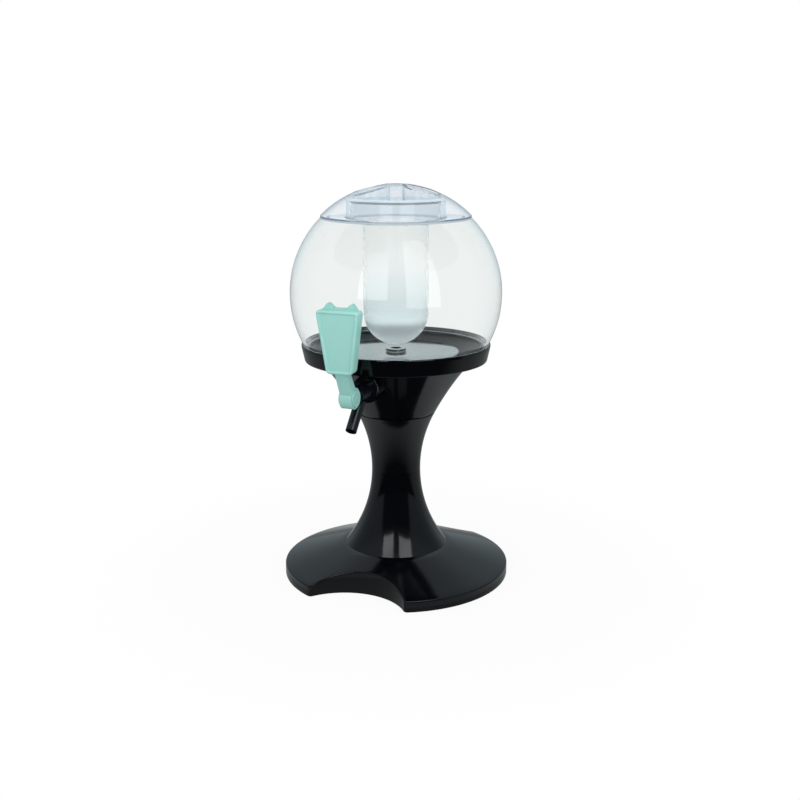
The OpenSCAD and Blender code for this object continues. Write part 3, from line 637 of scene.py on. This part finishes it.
def foot_plate():
    """The foot plate as one shell with rounded edges, open below, with sockets for its pads."""
    bm = bmesh.new()
    outline = plate_outline()
    sections = [plate_section(point, normal) for point, normal in outline]
    cone_steps = 10
    ceiling_steps = 4

    def edge_ring(step):
        """A ring through one step of all the sections."""
        ring = []
        for (point, normal), section in zip(outline, sections):
            distance_in, height = section[step]
            place = point - distance_in * normal
            ring.append(bm.verts.new((place.x, place.y, height)))
        return ring

    def cone_ring(share, start, drop):
        """A ring on the upper face or the ceiling, a share of the way from the seat to the edge."""
        ring = []
        for (point, normal), section in zip(outline, sections):
            edge = point - section[start][0] * normal
            seat = edge.normalized() * PLATE_SEAT_R
            place = seat.lerp(edge, share)
            place.z = plate_height(place) - drop
            ring.append(bm.verts.new(place))
        return ring

    rings = [[bm.verts.new((0, 0, PLATE_TOP))]]
    rings += [cone_ring(i / cone_steps, 0, 0) for i in range(cone_steps)]
    rings += [edge_ring(step) for step in range(len(sections[0]))]
    ceiling = PLATE_WALL * math.sqrt(1 + PLATE_SLOPE ** 2)
    rings += [cone_ring(i / ceiling_steps, -1, ceiling) for i in reversed(range(ceiling_steps))]
    rings.append([bm.verts.new((0, 0, PLATE_TOP - ceiling))])
    skin_rings(bm, rings)
    for turn in PAD_TURNS:
        pad_boss(bm, math.radians(turn))
    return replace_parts(new_piece("foot_plate", bm, "stand", "black_gloss"), "base_shell")


# Lever

def on_pivot(out, up, across=0.0):
    """A place beside the lever's pin: out from the tank, up, and across."""
    return PIVOT + Vector((across, -out, up))


PADDLE_FRAME = (
    Matrix.Translation(on_pivot(PADDLE_OUT, PADDLE_UP))
    @ Matrix.Rotation(PADDLE_LEAN, 4, "X")
    @ Matrix(((1, 0, 0, 0), (0, 0, -1, 0), (0, 1, 0, 0), (0, 0, 0, 1)))
)


def on_paddle(p, depth):
    """A place on the paddle: p is across it and up it, depth is out from its middle."""
    return PADDLE_FRAME @ Vector((p.x, p.y, depth))


def paddle_outline(inset):
    """The paddle's front outline, moved in by inset: straight sides and round corners."""
    corners = [
        (Vector((-PADDLE_LOW_W / 2, 0)), LOW_CORNER_R),
        (Vector((PADDLE_LOW_W / 2, 0)), LOW_CORNER_R),
        (Vector((PADDLE_TOP_W / 2, PADDLE_H)), TOP_CORNER_R),
        (Vector((-PADDLE_TOP_W / 2, PADDLE_H)), TOP_CORNER_R),
    ]
    least_r = 0.25 * MM
    steps = 7
    outline = []
    for k, (corner, radius) in enumerate(corners):
        before = (corner - corners[k - 1][0]).normalized()
        after = (corners[(k + 1) % 4][0] - corner).normalized()
        turn = before.angle_signed(after)
        half = abs(turn) / 2
        inner = (after - before).normalized()
        middle = corner + inner * radius / math.cos(half)
        left = max(radius - inset, least_r)
        middle += inner * max(0.0, inset - radius + least_r) / math.cos(half)
        start = math.atan2(-before.x, before.y)
        for i in range(steps + 1):
            angle = start + abs(turn) * i / steps
            outline.append(middle + left * Vector((math.cos(angle), math.sin(angle))))
    return outline


def paddle(bm):
    """The paddle: rounded edges, a half-round border bead and a sunk field on its front."""
    back = -PADDLE_T / 2
    front = PADDLE_T / 2
    edge = 2.0 * MM
    bead = BORDER_W / 2
    rise = 1.5 * MM
    bead_end = math.pi * 0.82
    field = front - FIELD_DEPTH
    profile = [
        (edge * (1 - math.sin(a)), back + edge * (1 - math.cos(a))) for a in arc_angles(0, math.pi / 2, 5)
    ]
    profile += [
        (bead * (1 - math.cos(a)), front - rise + rise * math.sin(a)) for a in arc_angles(0, bead_end, 9)
    ]
    profile += [(BORDER_W, field), (BORDER_W + 0.8 * MM, field)]
    rings = [
        [bm.verts.new(on_paddle(p, depth)) for p in paddle_outline(inset)] for inset, depth in profile
    ]
    skin_rings(bm, rings)
    bm.faces.new(rings[0])
    bm.faces.new(rings[-1])


def ear_rise(x):
    """Height of the ears above the paddle's upper edge: steep outside, sloping inside, a low wall between."""
    away = abs(x) - EAR_AT
    share = min(1.0, away / EAR_OUTER if away > 0 else -away / EAR_INNER)
    hump = EAR_H * math.cos(math.pi / 2 * share) ** EAR_POWER if share < 1 else 0.0
    return max(hump, EAR_WALL_H if away < 0 else 0.0)


def slab(bm, outline, low, high, place, round_edge):
    """A flat piece of an outline between two depths, with its long edges rounded."""
    lower = [bm.verts.new(place(p, low)) for p in outline]
    upper = [bm.verts.new(place(p, high)) for p in outline]
    skin_rings(bm, [lower, upper])
    ends = [bm.faces.new(lower), bm.faces.new(upper)]
    if round_edge:
        edges = list({edge for face in ends for edge in face.edges})
        bmesh.ops.bevel(
            bm, geom=edges, offset=round_edge, segments=3, profile=0.5, affect="EDGES", clamp_overlap=True,
        )


def ears(bm):
    """Both ears and the low wall between them, set back from the paddle's front and sunk into its top."""
    reach = EAR_AT + EAR_OUTER
    root = PADDLE_H - 3 * MM
    set_back = 6 * MM
    least_rise = 0.05 * MM
    steps = 44
    outline = [Vector((-reach, root)), Vector((reach, root))]
    for i in range(steps + 1):
        x = reach * (1 - 2 * i / steps)
        outline.append(Vector((x, PADDLE_H + max(ear_rise(x), least_rise))))
    slab(bm, outline, -PADDLE_T / 2, PADDLE_T / 2 - set_back, on_paddle, EDGE_ROUND)


def round_outline(radius, start=0.0, end=360.0, count=48):
    """Points about the pin: degrees from straight up, turning away from the tank."""
    angles = arc_angles(math.radians(start), math.radians(end), count)
    if end - start >= 360:
        angles = angles[:-1]
    return [radius * Vector((math.sin(a), math.cos(a))) for a in angles]


def across_pin(p, depth):
    """A place beside the pin: p is out from the tank and up, depth is along the pin."""
    return on_pivot(p.x, p.y, depth)


def joined(name, first, cut, makers):
    """Takes the cut from the first shape, joins the other closed shapes to it, and gives its bmesh."""
    parts = []
    for k, make in enumerate([first, cut, *makers]):
        bm = bmesh.new()
        make(bm)
        parts.append(mesh_object(f"{name}_{k}", bm))
    for part in parts[1:]:
        join = parts[0].modifiers.new("join", "BOOLEAN")
        join.operation = "DIFFERENCE" if part == parts[1] else "UNION"
        join.solver = "EXACT"
        join.object = part
    shape = parts[0].evaluated_get(bpy.context.evaluated_depsgraph_get())
    bm = bmesh.new()
    bm.from_mesh(shape.to_mesh())
    for part in parts:
        mesh = part.data
        bpy.data.objects.remove(part)
        bpy.data.meshes.remove(mesh)
    return bm


def neck(bm):
    """The neck from inside the hub up into the paddle's lower end."""
    root_r = 8.3 * MM
    into_paddle = 2.5 * MM
    back = PADDLE_OUT - PADDLE_T / 2 + 1 * MM
    front = PADDLE_OUT + PADDLE_T / 2 - 2 * MM
    half = NECK_W / 2 - 0.15 * MM
    head = [Vector((out, PADDLE_UP + into_paddle)) for out in (back, front)]
    slab(bm, head + round_outline(root_r, 75, -15, 3), -half, half, across_pin, EDGE_ROUND)


def hub_drum(bm):
    """The round hub about the pin."""
    slab(bm, round_outline(HUB_R, count=64), -NECK_W / 2, NECK_W / 2, across_pin, 1.7 * MM)


def hub_pocket(bm):
    """Room for the ears of the bonnet in the hub, open towards the tank and below."""
    inner_r = 6.6 * MM
    outer_r = 1.6 * HUB_R
    half = 5.0 * MM
    outline = round_outline(inner_r, -20, 162, 30) + round_outline(outer_r, 162, 340, 24)
    slab(bm, outline, -half, half, across_pin, 0.0)


def hub_disc(side):
    """A low disc on one end of the hub."""
    def make(bm):
        radius = 8 * MM
        inner = NECK_W / 2 - 0.5 * MM
        outer = 7.5 * MM
        ends = sorted((side * inner, side * outer))
        slab(bm, round_outline(radius), *ends, across_pin, 0.45 * MM)
    return make


def cam_tongue(bm):
    """The tongue that pushes the valve stem, between the ears of the bonnet."""
    root_r = 4 * MM
    into_hub = 8 * MM
    least_reach = 4.3 * MM
    climb = 5.7 * MM
    half = 2.2 * MM
    outline = []
    for turn in arc_angles(math.radians(-10), math.radians(50), 24):
        reach = least_reach + climb * turn
        outline.append(Vector((-reach * math.cos(turn), -reach * math.sin(turn))))
    outline += round_outline(root_r, 170, 90, 8)
    outline += [Vector((into_hub, -root_r)), Vector((into_hub, root_r))]
    outline += round_outline(root_r, 0, -80, 8)
    slab(bm, outline, -half, half, across_pin, 0.0)


def paddle_lever():
    """The lever in one moulding: paddle, ears, neck and hub."""
    bm = joined(
        "lever_shape", hub_drum, hub_pocket, [neck, paddle, ears, hub_disc(-1), hub_disc(1), cam_tongue],
    )
    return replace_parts(new_piece("paddle_lever", bm, "handle", "mint", 28), "lever")


# Globe

def tank_globe():
    """The globe with its even wall, the flat ring around its mouth and rounded edges there."""
    bm = bmesh.new()
    edge = 0.6 * MM
    middle_z = MOUTH_Z - edge
    inner_r = GLOBE_R - GLOBE_WALL
    ceiling = MOUTH_Z - GLOBE_WALL
    foot = math.acos((GLOBE_FOOT - GLOBE_Z) / GLOBE_R)
    top = math.acos((middle_z - GLOBE_Z) / (GLOBE_R - edge))
    inner_foot = math.acos((GLOBE_FOOT - GLOBE_Z) / inner_r)
    inner_top = math.acos((ceiling - GLOBE_Z) / inner_r)
    profile = arc_points((0, GLOBE_Z), GLOBE_R, foot, top, 96)
    profile += arc_points(((GLOBE_R - edge) * math.sin(top), middle_z), edge, top, 0, 5)[1:]
    profile += arc_points((MOUTH_R + edge, middle_z), edge, 0, -math.pi / 2, 5)
    profile.append((MOUTH_R, ceiling))
    profile += arc_points((0, GLOBE_Z), inner_r, inner_top, inner_foot, 96)
    turned(bm, profile, 240, True)
    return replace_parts(new_piece("tank_globe", bm, "tank", "clear_tank", 40), "globe")


# Lid

def dome_height(x, y, inset):
    """Height of the dome above a place, a distance inside its outer face."""
    return DOME_Z + math.sqrt((DOME_R - inset) ** 2 - x ** 2 - y ** 2)


def dome_shell(bm):
    """The dome with its upright edge, rounded above and below."""
    top_round = 0.8 * MM
    foot_round = 0.5 * MM
    low = LID_LOW + 0.05 * MM
    inner_r = DOME_R - LID_WALL
    slope = math.asin((LID_R - top_round) / (DOME_R - top_round))
    shoulder = (LID_R - top_round, DOME_Z + (DOME_R - top_round) * math.cos(slope))
    foot = math.acos((low - DOME_Z) / inner_r)
    profile = arc_points((0, DOME_Z), DOME_R, 0, slope, 40)
    profile += arc_points(shoulder, top_round, slope, math.pi / 2, 5)[1:]
    profile += arc_points((LID_R - foot_round, low + foot_round), foot_round, math.pi / 2, math.pi, 4)
    profile += arc_points((0, DOME_Z), inner_r, foot, 0, 32)
    turned(bm, profile)


def well_ring(bm, side, radius, depth):
    """A ring about a well's axis at a depth under the dome's face, or at the well's foot without one."""
    ring = []
    for angle in full_turn(96):
        x = side * WELL_AT + radius * math.cos(angle)
        y = radius * math.sin(angle)
        ring.append(bm.verts.new((x, y, WELL_LOW if depth is None else dome_height(x, y, depth))))
    return ring


def well_holes(bm):
    """Holes in the dome for the walls of both wells."""
    radius = WELL_R + 1.3 * MM
    for side in (-1, 1):
        rings = [well_ring(bm, side, radius, depth) for depth in (2 * LID_WALL, -LID_WALL)]
        skin_rings(bm, rings)
        bm.faces.new(rings[0])
        bm.faces.new(rings[1])


def well_wall(side):
    """The wall of a finger well, from the disc under the dome up to a rounded lip on the dome."""
    def make(bm):
        lip = 0.75 * MM
        proud = 0.12 * MM
        section = [(WELL_R, None)]
        section += [
            (WELL_R + lip * (1 - math.cos(a)), lip * (1 - math.sin(a)) - proud)
            for a in arc_angles(0, math.pi, 10)
        ]
        section += [
            (WELL_R + 2 * lip, 0.5 * LID_WALL),
            (WELL_R + LID_WALL, 0.5 * LID_WALL),
            (WELL_R + LID_WALL, None),
        ]
        rings = [well_ring(bm, side, radius, depth) for radius, depth in section]
        skin_rings(bm, rings, closed=True)
    return make


def lid_shell():
    """The lid's dome with its two finger wells and the grip bar between them."""
    bm = joined("lid_shape", dome_shell, well_holes, [well_wall(-1), well_wall(1)])
    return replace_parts(new_piece("lid_shell", bm, "cover", "clear_lid", 40), "lid_dome")


# Return spring

def coil_spring():
    """The spring behind the valve's piston, of round wire, which the piston shortens as the lever is pulled.
    It is made at one length and doesn't follow the lever.
    """
    low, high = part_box("return_spring")
    wire_r = 0.5 * MM
    coil_r = (high.x - low.x) / 2 - wire_r
    turns = 8
    steps = turns * 36
    middle = (low + high) / 2
    start = low.y + wire_r
    climb = high.y - low.y - 2 * wire_r
    pitch = climb / (turns * 2 * math.pi * coil_r)
    bm = bmesh.new()
    rings = []
    for i in range(steps + 1):
        angle = 2 * math.pi * turns * i / steps
        outward = Vector((math.cos(angle), 0, math.sin(angle)))
        at = Vector((middle.x, start + climb * i / steps, middle.z)) + coil_r * outward
        forward = Vector((-math.sin(angle), pitch, math.cos(angle))).normalized()
        across = forward.cross(outward)
        rings.append([
            bm.verts.new(at + wire_r * (math.cos(a) * outward + math.sin(a) * across)) for a in full_turn(12)
        ])
    skin_rings(bm, rings)
    bm.faces.new(rings[0])
    bm.faces.new(rings[-1])
    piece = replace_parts(new_piece("coil_spring", bm, "tank", "spring_steel"), "return_spring")
    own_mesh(piece)


# Studio

CAMERA_AT = Vector((0.4104, -1.0206, 0.4470))
CAMERA_TARGET = Vector((0.0037, 0.0015, 0.1810))
CAMERA_LENS = 50.15
VIEW_ALONG = (CAMERA_TARGET - CAMERA_AT).xy.normalized().to_3d()
VIEW_RIGHT = Vector((VIEW_ALONG.y, -VIEW_ALONG.x, 0))
FLOOR_HALF = 4.0
OVERHEAD_DIM = 0.55
FILL_EVEN = 0.56
FILL_UP = 0.25
FILL_LEFT = 0.2
CARDS = {
    "left_card": {
        "turn": 0, "distance": 0.40, "low": 0.30, "height": 0.40, "width": 0.20, "glow": 2.4, "fade": 0.25,
    },
    "right_card": {
        "turn": 46.6, "distance": 0.32, "low": 0.26, "height": 0.55, "width": 0.18, "glow": 2.1, "fade": 0.6,
    },
}


def camera():
    """The camera, fitted to the view in the photo."""
    data = bpy.data.cameras.new("camera")
    data.lens = CAMERA_LENS
    data.sensor_width = 36.0
    seen_by = bpy.data.objects.new("camera", data)
    seen_by.location = CAMERA_AT
    seen_by.rotation_euler = (CAMERA_TARGET - CAMERA_AT).to_track_quat("-Z", "Y").to_euler()
    scene.collection.objects.link(seen_by)
    scene.camera = seen_by


def light_card(name, turn, distance, low, height, width, glow, fade, inner=False):
    """An upright light card beside the globe: turn is from the front to the right, fade its glow at the top.

    The card doesn't show through clear plastic. An inner card is its light on what stands behind it."""
    data = bpy.data.lights.new(name, "AREA")
    data.shape = "RECTANGLE"
    data.size = width
    data.size_y = height
    data.energy = glow * math.pi * width * height
    tree = empty_tree(data)
    spot = add_node(tree, "NewGeometry").outputs["Parametric"]
    climb = add_node(tree, "SeparateXYZ", {"Vector": spot}).outputs["Y"]
    strength = ramp_node(tree, climb, low=0.1, high=1.0, to_low=1.0, to_high=fade)
    path = add_node(tree, "LightPath")
    shown = math_node(tree, "SUBTRACT", 1.0, path.outputs["Transmission Depth"], True)
    shown = math_node(tree, "ADD", shown, path.outputs["Glossy Depth"], True)
    if inner:
        shown = math_node(tree, "SUBTRACT", 1.0, shown)
    strength = math_node(tree, "MULTIPLY", strength, shown)
    light = add_node(tree, "Emission", {"Strength": strength})
    add_node(tree, "OutputLight", {"Surface": light.outputs["Emission"]})
    lamp = bpy.data.objects.new(name, data)
    angle = math.radians(turn)
    outward = Vector((math.sin(angle), -math.cos(angle), 0))
    lamp.location = distance * outward + Vector((0, 0, low + height / 2))
    lamp.rotation_euler = (-outward).to_track_quat("-Z", "Y").to_euler()
    lamp.visible_camera = False
    lamp.visible_glossy = not inner
    lamp.visible_transmission = not inner
    scene.collection.objects.link(lamp)


def studio_world():
    """White where it is seen or shows through clear plastic; mirrored as grey walls with a dark front."""
    world = bpy.data.worlds.new("studio")
    scene.world = world
    tree = empty_tree(world)
    path = add_node(tree, "LightPath")
    way = add_node(tree, "TexCoord").outputs["Generated"]
    climb = add_node(tree, "SeparateXYZ", {"Vector": way}).outputs["Z"]
    ahead = along(tree, way, VIEW_ALONG)
    aside = along(tree, way, VIEW_RIGHT)
    passed = path.outputs["Is Transmission Ray"]
    glossy = math_node(tree, "SUBTRACT", path.outputs["Is Glossy Ray"], passed, True)

    # Mirrored: a dark front, grey sides, a lighter back that ends above, and a faint ceiling
    sides = ramp_node(tree, ahead, low=-0.68, high=-0.54, to_low=0.03, to_high=0.26)
    back = ramp_node(tree, ahead, low=0.3, high=0.85, to_low=0.0, to_high=0.14)
    back_end = ramp_node(tree, climb, low=0.6, high=0.85, to_low=1.0, to_high=0.0)
    back = math_node(tree, "MULTIPLY", back, back_end)
    above = ramp_node(tree, climb, low=0.42, high=0.66, to_low=0.0, to_high=0.1)
    mirrored = math_node(tree, "ADD", math_node(tree, "ADD", sides, back), above)

    # Through clear plastic: white, but dim and bluish overhead
    overhead = ramp_node(tree, climb, low=0.5, high=0.85)
    dimmed = math_node(tree, "SUBTRACT", 1.0, math_node(tree, "MULTIPLY", overhead, OVERHEAD_DIM))
    through = math_node(tree, "MULTIPLY", dimmed, passed)

    # On dull faces: more light from above and from the left
    fill = math_node(tree, "MULTIPLY", climb, FILL_UP)
    fill = math_node(tree, "SUBTRACT", fill, math_node(tree, "MULTIPLY", aside, FILL_LEFT))
    fill = math_node(tree, "ADD", fill, FILL_EVEN, True)
    bounced = math_node(tree, "MULTIPLY", path.outputs["Is Diffuse Ray"], fill)

    level = math_node(tree, "ADD", math_node(tree, "MULTIPLY", glossy, mirrored), bounced)
    level = math_node(tree, "MAXIMUM", level, through)
    level = math_node(tree, "MAXIMUM", level, path.outputs["Is Camera Ray"])
    overhead_passed = math_node(tree, "MULTIPLY", overhead, passed)
    inside = math_node(tree, "MULTIPLY", passed, path.outputs["Glossy Depth"], True)
    tint = colour_mix(tree, overhead_passed, (1, 1, 1, 1), (0.8, 0.9, 1.1, 1))
    tint = colour_mix(tree, glossy, tint, (0.84, 0.99, 1.05, 1))
    tint = colour_mix(tree, inside, tint, (0.87, 0.98, 1.02, 1))
    light = add_node(tree, "Background", {"Color": tint, "Strength": level})
    add_node(tree, "OutputWorld", {"Surface": light.outputs["Background"]})


def studio_floor():
    """A white floor: seen as white with the object's soft shadow, and mirrored darker towards the front."""
    bm = bmesh.new()
    corners = ((-1, -1), (1, -1), (1, 1), (-1, 1))
    bm.faces.new([bm.verts.new((FLOOR_HALF * x, FLOOR_HALF * y, 0)) for x, y in corners])
    mesh = bpy.data.meshes.new("floor")
    bm.to_mesh(mesh)
    bm.free()
    floor = bpy.data.objects.new("floor", mesh)
    scene.collection.objects.link(floor)
    material = bpy.data.materials.new("floor_white")
    tree = empty_tree(material)
    path = add_node(tree, "LightPath")
    place = add_node(tree, "TexCoord").outputs["Object"]
    away = length_of(tree, place)
    ahead = along(tree, place, VIEW_ALONG)
    passed = path.outputs["Is Transmission Ray"]
    seen = math_node(tree, "MAXIMUM", path.outputs["Is Camera Ray"], passed)
    glossy = math_node(tree, "SUBTRACT", path.outputs["Is Glossy Ray"], passed, True)

    # Seen: white, with a share of paper near the object that takes its shadow
    shade = ramp_node(tree, away, low=0.12, high=0.4, to_low=0.07, to_high=0.0)
    white = add_node(tree, "Emission", {"Strength": 1.0})
    paper = add_node(tree, "BsdfDiffuse", {"Color": (0.86, 0.86, 0.86, 1)})
    lit = add_node(tree, "MixShader", {0: shade, 1: white.outputs["Emission"], 2: paper.outputs["BSDF"]})

    # Mirrored: dark in front and far away, with painted shade right under the foot plate
    front = ramp_node(tree, ahead, low=-0.28, high=-0.03, to_low=0.06, to_high=1.0)
    far = ramp_node(tree, away, low=0.15, high=0.38, to_low=0.47, to_high=0.25)
    # Painted shade: short rays that meet the floor right under the foot plate see it darker
    under = ramp_node(tree, path.outputs["Ray Length"], low=0.06, high=0.12, to_low=0.6, to_high=0.05)
    beside = ramp_node(tree, away, low=0.112, high=0.128)
    mirrored = math_node(tree, "MULTIPLY", front, far)
    mirrored = math_node(tree, "MULTIPLY", mirrored, math_node(tree, "MAXIMUM", beside, under))
    image = add_node(tree, "Emission", {"Color": (0.92, 1.0, 1.0, 1), "Strength": mirrored})

    other = add_node(tree, "MixShader", {0: glossy, 1: paper.outputs["BSDF"], 2: image.outputs["Emission"]})
    both = add_node(tree, "MixShader", {0: seen, 1: other.outputs["Shader"], 2: lit.outputs["Shader"]})
    add_node(tree, "OutputMaterial", {"Surface": both.outputs["Shader"]})
    mesh.materials.append(material)


camera()
for name, card in CARDS.items():
    light_card(name, **card)
    light_card(name + "_inner", **card, inner=True)
studio_world()
studio_floor()

for name, node in nodes.items():
    node.material_slots[0].material = FINISH[slot_of[name]]
dish_finish = bowl_black()
for name in ("bowl", "drain_elbow"):
    nodes[name].material_slots[0].material = dish_finish
foot_plate()
paddle_lever()
tank_globe()
lid_shell()
coil_spring()

scene.view_settings.view_transform = "Standard"
